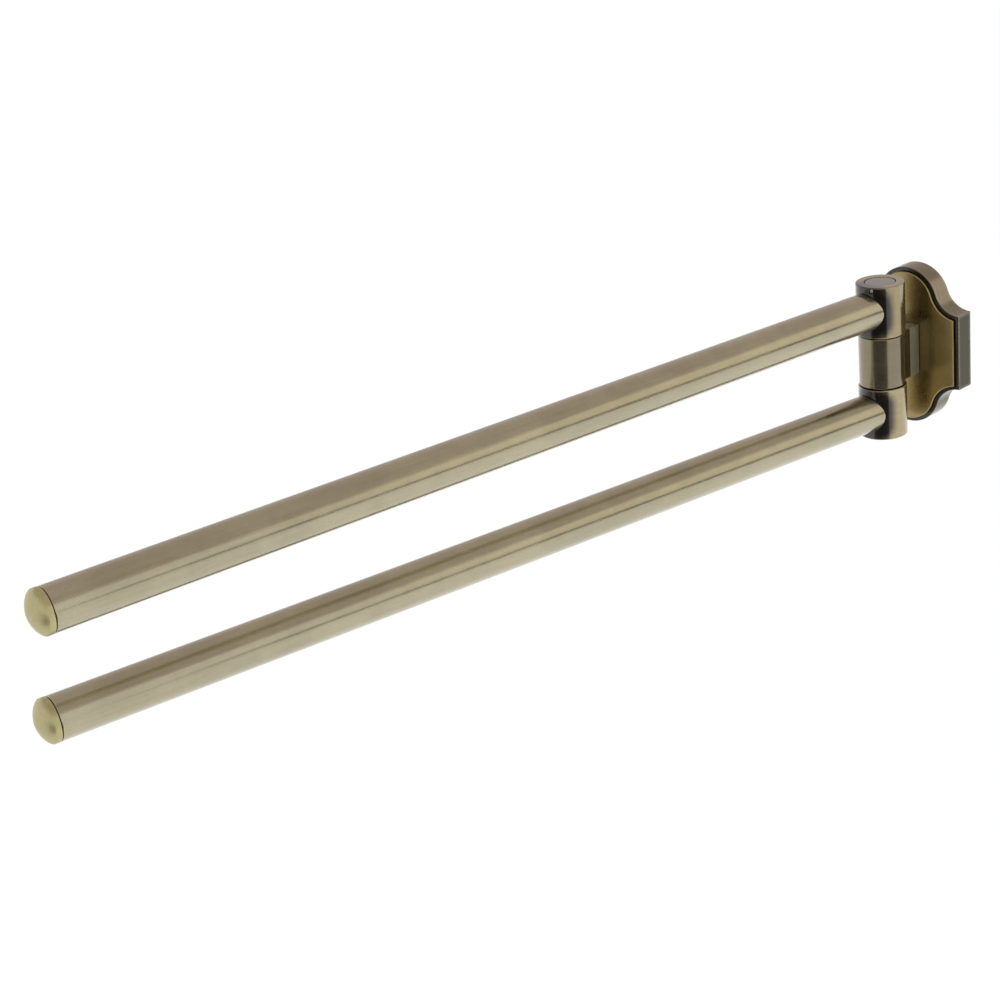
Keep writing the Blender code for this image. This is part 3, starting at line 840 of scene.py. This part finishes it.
class RACK_OT_hinge_bracket(bpy.types.Operator):
    """Make the middle barrel with the tongue that carries it on the wall plate"""

    bl_idname = "rack.hinge_bracket"
    bl_label = "Hinge bracket"

    def execute(self, context):
        low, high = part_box("hinge_bracket")
        outer = (high.x - low.x) / 2
        top = high.z
        washer_low, washer_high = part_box("thrust_washer_upper")
        recess = (washer_high.x - washer_low.x) / 2 + GAP
        floor = washer_low.z - GAP
        stations = [
            (outer, top), (outer, -top), (recess, -top), (recess, -floor),
            (PIN_BORE, -floor), (PIN_BORE, floor), (recess, floor), (recess, top),
        ]
        barrel = lathe("hinge_bracket_finished", stations, True)
        round_rings(barrel, [(outer, top), (outer, -top)], sizes().edge_round * 0.7)
        put(barrel, standing_matrix())
        side, end = TONGUE_WIDTH / 2, TONGUE_HEIGHT / 2
        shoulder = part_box("cover_plate")[0].y - GAP
        tongue = cube("tongue", (-side, HINGE.y, -end), (side, shoulder, end))
        soften(tongue, 0.35 * MM)
        neck = rod("neck", (recess + 2 * outer) / 3, -top, top, ROUND)
        cut(tongue, put(neck, standing_matrix()))
        join(barrel, tongue)
        side, end = side - TONGUE_STEP, end - TONGUE_STEP
        root = cube("tongue root", (-side, shoulder - TONGUE_STEP, -end), (side, high.y, end))
        join(barrel, root)
        for name in BRACKET_SCREWS:
            screw_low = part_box(name)[0]
            hole = rod("screw hole", SCREW_RADIUS + GAP, screw_low.y - MM, high.y + MM)
            cut(barrel, put(hole, along_y(middle(name).z)))
        # The tongue behind the barrel gets a painted light grey reflection.
        look = brass(
            "barrel brass", standing_matrix(), finish().barrel_brass, -0.02,
            bump=0.03, painted_reflection_depth=HINGE.y + outer, **TURNED,
        )
        complete(barrel, "base", "hinge_brass", look, "hinge_bracket")
        return {"FINISHED"}


def along_y(height):
    """Lays a piece drawn along +Z along +Y instead, at a height."""
    return Matrix.Translation((0, 0, height)) @ Matrix.Rotation(-math.pi / 2, 4, "X")


def ogee(name, inset, y):
    """A flat face in the wall plate's outline, moved in by inset. One quarter is spun from a
    single point, down the crown arc and back up the hollow cove arc, and mirrored twice."""
    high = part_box("escutcheon")[1]
    half_width, crown = high.x, high.z
    radius = sizes().crown_radius
    corner_points = [v.co.z for v in NODES["escutcheon"].data.vertices if near(v.co.x, half_width)]
    shoulder = max(corner_points)
    rise = shoulder - crown + radius
    cove = (half_width**2 + rise**2 - radius**2) / (2 * (radius - rise))
    crown_centre = Vector((0, y, crown - radius))
    cove_centre = Vector((half_width, y, shoulder + cove))
    lean = math.atan2(half_width, cove_centre.z - crown_centre.z)
    last = math.asin(inset / (cove + inset))
    deselect()
    bpy.ops.mesh.primitive_plane_add(size=MM)
    thing = begin(name)
    bpy.ops.mesh.select_mode(type="VERT")
    select_all()
    bpy.ops.mesh.merge(type="CENTER")
    bpy.ops.transform.translate(value=(0, y, crown - inset))
    arc(crown_centre, lean, 24)
    arc(cove_centre, last - lean, 24)
    mesh = bmesh.from_edit_mesh(thing.data)
    drop = min(vertex.co.z for vertex in mesh.verts)
    extrude(0, 0, -drop)
    leave_edit()
    mirror = thing.modifiers.new("halves", "MIRROR")
    mirror.use_axis = (True, False, True)
    mirror.merge_threshold = WELD
    apply(thing, mirror)
    edit(thing)
    select_all()
    bpy.ops.mesh.remove_doubles(threshold=WELD)
    bpy.ops.mesh.dissolve_limited(angle_limit=0.0001)
    select_all()
    bpy.ops.mesh.edge_face_add()
    leave_edit()
    return thing


def arc(centre, angle, steps):
    """Spins the selected point about a line along Y through the centre. Spin turns clockwise."""
    bpy.ops.mesh.spin(steps=steps, angle=-angle, center=tuple(centre), axis=(0, 1, 0))


def ogee_block(name, inset, back, front):
    """A solid in the plate's outline between two depths."""
    thing = ogee(name, inset, back)
    edit(thing)
    select_all()
    extrude(0, front - back, 0)
    clean_mesh()
    leave_edit()
    return thing


def round_front(thing, depth, width):
    edit(thing)
    pick_edges(thing, lambda co: near(co.y, depth))
    bpy.ops.mesh.bevel(offset=width, segments=4, affect="EDGES")
    leave_edit()


class RACK_OT_escutcheon(bpy.types.Operator):
    """Make the hollow wall plate with its hook, screw boss and slot"""

    bl_idname = "rack.escutcheon"
    bl_label = "Wall plate"

    def execute(self, context):
        low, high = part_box("escutcheon")
        front, half_width, crown = low.y, high.x, high.z
        cover_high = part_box("cover_plate")[1]
        seat = cover_high.y + GAP
        ceiling = seat + sizes().shell_wall
        rim = half_width - cover_high.x - GAP
        plate = ogee_block("escutcheon_finished", 0, 0, front)
        round_front(plate, front, sizes().edge_round)
        cut(plate, ogee_block("seat", rim, seat, front - MM))
        cut(plate, ogee_block("hollow", sizes().shell_wall, MM, ceiling))
        ear_low, ear_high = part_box("wall_bracket")
        rib_low = (-EAR, ear_low.y + HOOK_LIP + GAP, ear_high.z - HOOK_LIP + GAP)
        join(plate, cube("hook rib", rib_low, (EAR, -RIB_BACK, crown - RIB_END)))
        grub_low, grub_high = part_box("bracket_grub_screw")
        grub = middle("bracket_grub_screw")
        radius = (grub_high.x - grub_low.x) / 2
        boss_low = (-2 * radius, ceiling - RIB_SINK, -crown + RIB_END)
        boss_high = (2 * radius, grub.y + 1.5 * radius, grub_high.z - 0.9 * MM)
        join(plate, cube("grub boss", boss_low, boss_high))
        hole = rod("grub hole", radius + GAP, -crown - MM, grub_high.z + 0.6 * MM)
        cut(plate, put(hole, Matrix.Translation((0, grub.y, 0))))
        cut(plate, tongue_slot("plate slot"))
        # The plate gets painted shade on its sides and underside, and a painted dark reflection on
        # its front ledge.
        look = brass(
            "plate brass", None, finish().plate_brass, -0.02,
            across=700.0, along=700.0, bump=0.03, coat=0.4, wear=0.75, plate=(half_width, front),
        )
        complete(plate, "base", "plate_brass", look, "escutcheon")
        return {"FINISHED"}


def tongue_slot(name):
    """The hole that the tongue's root passes through, for cutting."""
    half_width, half_height = (
        size / 2 - TONGUE_STEP + GAP for size in (TONGUE_WIDTH, TONGUE_HEIGHT)
    )
    return cube(name, (-half_width, -12 * MM, -half_height), (half_width, -4 * MM, half_height))


class RACK_OT_cover(bpy.types.Operator):
    """Make the raised cover on the front of the wall plate"""

    bl_idname = "rack.cover"
    bl_label = "Cover plate"

    def execute(self, context):
        low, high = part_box("cover_plate")
        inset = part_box("escutcheon")[1].x - high.x
        cover = ogee_block("cover_plate_finished", inset, high.y, low.y)
        round_front(cover, low.y, sizes().edge_round * 0.8)
        cut(cover, tongue_slot("cover slot"))
        look = brass(
            "cover brass", None, finish().cover_brass, 0.06,
            across=500.0, along=500.0, bump=0.02, coat=0.5, wear=0.25,
        )
        complete(cover, "base", "plate_brass", look, "cover_plate")
        return {"FINISHED"}


class RACK_OT_wall_bracket(bpy.types.Operator):
    """Make the pressed steel bracket behind the plate, and the plate that backs the tongue"""

    bl_idname = "rack.wall_bracket"
    bl_label = "Wall bracket"

    def execute(self, context):
        low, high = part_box("wall_bracket")
        ear_height = high.z - HOOK_LIP
        neck = ear_height - EAR
        half_height = neck + EAR - high.x
        corners = (low.x, -STRIP_THICKNESS, -half_height), (high.x, 0, half_height)
        strip = cube("wall_bracket_finished", *corners)
        for side in (1, -1):
            edit(strip)
            bend = ear_height - STRIP_THICKNESS
            for height, width in ((neck, EAR / high.x), (bend, 1), (ear_height, 1)):
                pick_faces(
                    strip, lambda co, normal: normal.z * side > 0.9 and co.z * side > neck / 3
                )
                mesh = bmesh.from_edit_mesh(strip.data)
                now = max(vertex.co.z * side for vertex in mesh.verts)
                extrude(0, 0, (height - now) * side)
                bpy.ops.transform.resize(
                    value=(width, 1, 1), center_override=(0, -STRIP_THICKNESS / 2, height * side)
                )
            reach = [(low.y, -STRIP_THICKNESS)]
            if side > 0:
                reach = [(low.y + HOOK_LIP, -STRIP_THICKNESS), (low.y, low.y + HOOK_LIP)]
            for depth, base in reach:
                pick_faces(
                    strip,
                    lambda co, normal: normal.y < -0.9
                    and co.z * side > bend
                    and near(co.y, base),
                )
                extrude(0, depth - base, 0)
            leave_edit()
        edit(strip)
        pick_faces(strip, lambda co, normal: normal.z > 0.9 and co.y < low.y + HOOK_LIP)
        extrude(0, 0, HOOK_LIP)
        clean_mesh()
        leave_edit()
        for side in (1, -1):
            cut(strip, wall_slot(side * WALL_SLOT_LEVEL))
        soften(strip, sizes().fine_round)
        look = steel("plated steel", across=1200.0, along=60.0)
        complete(strip, "base", "plated_steel", look, "wall_bracket")

        low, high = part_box("backing_plate")
        backing = cube("backing_plate_finished", low, high)
        for name in BRACKET_SCREWS:
            hole = rod("backing hole", SCREW_RADIUS + GAP, low.y - MM, high.y + MM)
            cut(backing, put(hole, along_y(middle(name).z)))
        soften(backing, sizes().fine_round)
        look = steel("backing steel", across=900.0)
        complete(backing, "base", "plated_steel", look, "backing_plate")
        return {"FINISHED"}


def wall_slot(height):
    """A round-ended slot through the strip, from a rod whose two halves are pulled apart."""
    slot = put(rod("wall slot", WALL_SLOT, -4 * MM, 2 * MM), along_y(height))
    edit(slot)
    mesh = bmesh.from_edit_mesh(slot.data)
    for vertex in mesh.verts:
        vertex.co.x += math.copysign(WALL_SLOT_SPREAD, vertex.co.x)
    bmesh.update_edit_mesh(slot.data)
    leave_edit()
    return slot


class RACK_OT_screws(bpy.types.Operator):
    """Make the screws behind the plate and the grub screw under it"""

    bl_idname = "rack.screws"
    bl_label = "Bracket screws"

    def execute(self, context):
        for name in BRACKET_SCREWS:
            low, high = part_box(name)
            under = high.y - SCREW_HEAD_HEIGHT
            stations = [
                (SCREW_HEAD, high.y), (SCREW_HEAD, under),
                (SCREW_RADIUS, under), (SCREW_RADIUS, low.y),
            ]
            screw = lathe(f"{name}_finished", stations, sides=SMALL_ROUND)
            round_rings(screw, [(SCREW_HEAD, high.y)], 0.6 * MM, 5)
            round_rings(screw, [(SCREW_RADIUS, low.y)], 0.3 * MM, 2)
            cut(screw, rod("socket", SCREW_SOCKET, high.y - MM, high.y + MM, 6))
            put(screw, along_y(middle(name).z))
            look = steel(f"{name} steel", along_y(middle(name).z), 0.28, **MACHINED)
            complete(screw, "base", "fastener_steel", look, name)
        name = "bracket_grub_screw"
        low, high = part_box(name)
        radius = (high.x - low.x) / 2
        grub = rod(f"{name}_finished", radius, low.z, high.z)
        cut(grub, rod("socket", GRUB_SOCKET, low.z - MM, low.z + 1.5 * MM, 6))
        soften(grub, sizes().fine_round, segments=2)
        put(grub, Matrix.Translation((0, middle(name).y, 0)))
        look = steel("grub steel", None, 0.28, **MACHINED)
        complete(grub, "base", "fastener_steel", look, name)
        return {"FINISHED"}


class RACK_OT_inner_pieces(bpy.types.Operator):
    """Give the pin, nut, washers, bushes, studs and inserts inside the rack their finishes"""

    bl_idname = "rack.inner_pieces"
    bl_label = "Inner pieces"

    def execute(self, context):
        plastic = nylon("moulded nylon")
        turned = steel("turned steel", standing_matrix(), 0.26, **TURNED)
        looks = {
            "hinge_pin": turned,
            "pin_nut": turned,
            "pin_washer": turned,
            "spring_washer": steel("spring steel", standing_matrix(), 0.3, **TURNED),
            "thrust_washer_upper": plastic,
            "thrust_washer_lower": plastic,
        }
        for arm in ARMS:
            looks[f"{arm}_bush"] = plastic
            matrix = arm_matrix(arm)
            looks[f"{arm}_arm_stud"] = steel(f"{arm} stud steel", matrix, 0.3, **STUD_MARKS)
            looks[f"{arm}_tube_insert"] = steel(f"{arm} insert steel", matrix, 0.4)
        for node, look in looks.items():
            NODES[node].material_slots[0].material = look
        return {"FINISHED"}


# Stage


def soft_light(name, place, target, width, height, power):
    light = bpy.data.lights.new(name, "AREA")
    light.shape = "RECTANGLE"
    light.size, light.size_y = width, height
    light.energy = power
    lamp = bpy.data.objects.new(name, light)
    bpy.context.scene.collection.objects.link(lamp)
    lamp.location = place
    lamp.rotation_euler = (Vector(target) - Vector(place)).to_track_quat("-Z", "Y").to_euler()
    lamp.visible_glossy = False


def card(name, azimuth, distance, level, width, height, tint, tilt=90):
    """A studio card that only shows in the metal's reflections, upright unless it is tilted. Its
    azimuth is measured round the hinge from straight out, and its level is its middle's height."""
    turn = math.radians(azimuth)
    deselect()
    bpy.ops.mesh.primitive_grid_add(x_subdivisions=2, y_subdivisions=2, size=1)
    thing = bpy.context.object
    thing.name = name
    place = Matrix.Translation((HINGE.x, HINGE.y, level)) @ Matrix.Rotation(turn, 4, "Z")
    place = place @ Matrix.Translation((0, -distance, 0))
    place = place @ Matrix.Rotation(math.radians(tilt), 4, "X")
    put(thing, place @ Matrix.Diagonal((width, height, 1, 1)))
    for reach in ("camera", "diffuse", "transmission", "volume_scatter", "shadow"):
        setattr(thing, f"visible_{reach}", False)
    material = bpy.data.materials.new(f"{name} paper")
    material.use_nodes = True
    tree = material.node_tree
    tree.nodes.clear()
    out = tree.nodes.new("ShaderNodeOutputMaterial")
    glow = add(tree, "ShaderNodeEmission", {"Color": rgba(tint), "Strength": 1.0})
    tree.links.new(glow.outputs[0], out.inputs["Surface"])
    thing.data.materials.append(material)


def seen_directly(tree):
    """1 for the rays that show the white studio: camera, glossy and transmission rays."""
    path = add(tree, "ShaderNodeLightPath")
    seen = math_node(tree, "MAXIMUM", path.outputs["Is Camera Ray"], path.outputs["Is Glossy Ray"])
    return math_node(tree, "MAXIMUM", seen, path.outputs["Is Transmission Ray"])


def make_world(scene):
    world = bpy.data.worlds.new("studio")
    scene.world = world
    world.use_nodes = True
    tree = world.node_tree
    background = tree.nodes["Background"]
    background.inputs["Color"].default_value = (1, 1, 1, 1)
    soft = 0.45  # daylight on surfaces that aren't mirrors
    tree.links.new(remap(tree, seen_directly(tree), 0, 1, soft, 1.0), background.inputs["Strength"])


def make_floor():
    """A pale floor well below the rack, white where nothing shades it."""
    drop, share = 0.45, 0.9
    deselect()
    bpy.ops.mesh.primitive_circle_add(vertices=96, radius=8, fill_type="NGON")
    floor = bpy.context.object
    floor.name = "floor"
    put(floor, Matrix.Translation((0, 0, -drop)))
    material = bpy.data.materials.new("pale floor")
    material.use_nodes = True
    tree = material.node_tree
    shader = tree.nodes["Principled BSDF"]
    shader.inputs["Base Color"].default_value = (0.86, 0.86, 0.86, 1)
    shader.inputs["Roughness"].default_value = 0.9
    shader.inputs["Specular IOR Level"].default_value = 0.0
    glow = add(tree, "ShaderNodeEmission", {"Color": (1, 1, 1, 1), "Strength": 1.07})
    factor = math_node(tree, "MULTIPLY", seen_directly(tree), share)
    mix = add(tree, "ShaderNodeMixShader", {0: factor, 1: shader.outputs[0], 2: glow.outputs[0]})
    tree.links.new(mix.outputs[0], tree.nodes["Material Output"].inputs["Surface"])
    floor.data.materials.append(material)


def make_camera(scene):
    lens = bpy.data.cameras.new("camera")
    camera = bpy.data.objects.new("camera", lens)
    scene.collection.objects.link(camera)
    camera.location = (0.4622, -0.6409 + HINGE.y, 0.2698)
    camera.rotation_euler = [math.radians(angle) for angle in (67.394, 5.872, 45.935)]
    lens.lens = 70.65
    lens.sensor_width = 36
    lens.shift_x = 0.0174
    lens.shift_y = 0.0125
    lens.clip_start = 0.01
    scene.camera = camera


class RACK_OT_stage(bpy.types.Operator):
    """Make the pale floor, the soft studio lights, their cards and the camera"""

    bl_idname = "rack.stage"
    bl_label = "Stage"

    def execute(self, context):
        make_world(context.scene)
        make_floor()
        soft_light("key", (0.9, 0.45, 0.45), tuple(HINGE), 0.7, 0.5, 9)
        soft_light("fill", (-1.0, -0.9, 0.7), (0, -0.2, 0), 0.9, 0.9, 6)
        card("camera flag", 27, 0.85, -0.27, 1.25, 0.35, (0.08, 0.072, 0.066))
        card("back wall", 180, 2.2, 2.95, 14.0, 6.0, (0.58, 0.52, 0.50))
        card("ceiling", 180, 0, 3.0, 9.0, 9.0, (0.58, 0.52, 0.50), tilt=0)
        card("softbox", 134, 1.6, 0.53, 1.9, 0.98, (1.05, 0.97, 0.86))
        card("skirting", 132, 1.55, -0.08, 2.6, 0.22, (0.15, 0.14, 0.13))
        make_camera(context.scene)
        context.scene.view_settings.view_transform = "Standard"
        return {"FINISHED"}


PIECES = (
    RACK_OT_tubes,
    RACK_OT_end_caps,
    RACK_OT_knuckles,
    RACK_OT_plugs,
    RACK_OT_hinge_bracket,
    RACK_OT_escutcheon,
    RACK_OT_cover,
    RACK_OT_wall_bracket,
    RACK_OT_screws,
    RACK_OT_inner_pieces,
    RACK_OT_stage,
)


class RACK_PT_panel(bpy.types.Panel):
    """Sizes, finishes and pieces of the towel rack"""

    bl_idname = "RACK_PT_panel"
    bl_label = "Towel Rack"
    bl_space_type = "VIEW_3D"
    bl_region_type = "UI"
    bl_category = "Towel Rack"

    def draw(self, context):
        for settings in (context.scene.rack_sizes, context.scene.rack_finish):
            box = self.layout.box()
            for name in settings.__annotations__:
                box.prop(settings, name)
        for piece in PIECES:
            self.layout.operator(piece.bl_idname)


CLASSES = (RackSizes, RackFinish, *PIECES, RACK_PT_panel)


def register():
    for item in CLASSES:
        bpy.utils.register_class(item)
    bpy.types.Scene.rack_sizes = bpy.props.PointerProperty(type=RackSizes)
    bpy.types.Scene.rack_finish = bpy.props.PointerProperty(type=RackFinish)


def unregister():
    del bpy.types.Scene.rack_finish
    del bpy.types.Scene.rack_sizes
    for item in reversed(CLASSES):
        bpy.utils.unregister_class(item)


def main():
    register()
    for piece in PIECES:
        name = piece.bl_idname.split(".")[1]
        getattr(bpy.ops.rack, name)()


if __name__ == "__main__":
    main()
